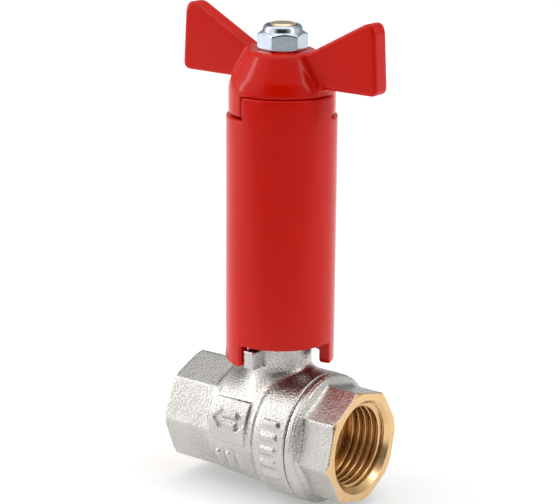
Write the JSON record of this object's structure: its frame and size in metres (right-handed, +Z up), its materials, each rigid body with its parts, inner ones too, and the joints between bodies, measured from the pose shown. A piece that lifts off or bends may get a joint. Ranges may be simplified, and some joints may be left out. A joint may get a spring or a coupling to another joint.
{
  "type": "ball valve",
  "caption": "Small quarter-turn ball valve with threaded octagonal ports, a raised extension tube and a butterfly handle held by a lock nut.",
  "frame": {"origin": "lowest point of the barrel, straight under the stem: the centre of the bounding box's bottom face", "axes": "+X along the pipe out of the connector's port, +Z up the stem to the handle"},
  "size_m": [0.0542, 0.0308, 0.1135],
  "materials": {
    "nickel_casting": "nickel plate over sand-blasted forged brass, satin",
    "nickel_connector": "nickel plate over forged brass, satin; mouth and thread bare brass",
    "seal_rubber": "black nitrile rubber, matte",
    "ptfe": "white PTFE, waxy",
    "bare_brass": "machined brass, fine turning marks",
    "rod_brass": "drawn brass bar, machined ends",
    "red_tube_paint": "red powder coat, satin gloss",
    "red_handle_paint": "red powder coat over die-cast aluminium, satin gloss",
    "zinc_steel": "zinc plated, pressed",
    "spring_steel": "blackened spring steel",
    "zinc_nut": "bright zinc plate, bluish",
    "nylon": "nylon insert, satin",
    "chromed_ball": "hard chrome over brass, polished"
  },
  "bodies": {
    "valve": {"valve_body": "nickel_casting", "end_connector": "nickel_connector", "joint_o_ring": "seal_rubber", "seat_ring_left": "ptfe", "seat_ring_right": "ptfe", "thrust_washer": "ptfe", "packing_ring_lower": "ptfe", "packing_ring_upper": "ptfe", "packing_follower": "bare_brass", "gland_nut": "bare_brass"},
    "handle": {"stem": "bare_brass", "stem_o_ring_lower": "seal_rubber", "stem_o_ring_upper": "seal_rubber", "extension_tube": "red_tube_paint", "flat_washer": "zinc_steel", "spring_washer": "spring_steel", "extension_rod": "rod_brass", "handle": "red_handle_paint", "lock_nut": "zinc_nut", "nut_insert": "nylon"},
    "ball": {"ball": "chromed_ball"}
  },
  "joints": [
    {"name": "handle_turn", "type": "hinge", "parent": "valve", "child": "handle", "pos_m": [0, 0, 0.0154], "axis": [0, 0, -1], "range_deg": [0, 90]},
    {"name": "ball_turn", "type": "hinge", "parent": "valve", "child": "ball", "pos_m": [0, 0, 0.0154], "axis": [0, 0, -1], "range_deg": [0, 90]}
  ],
  "couplings": [
    {"joint": "ball_turn", "follows": "handle_turn", "ratio": 1}
  ]
}
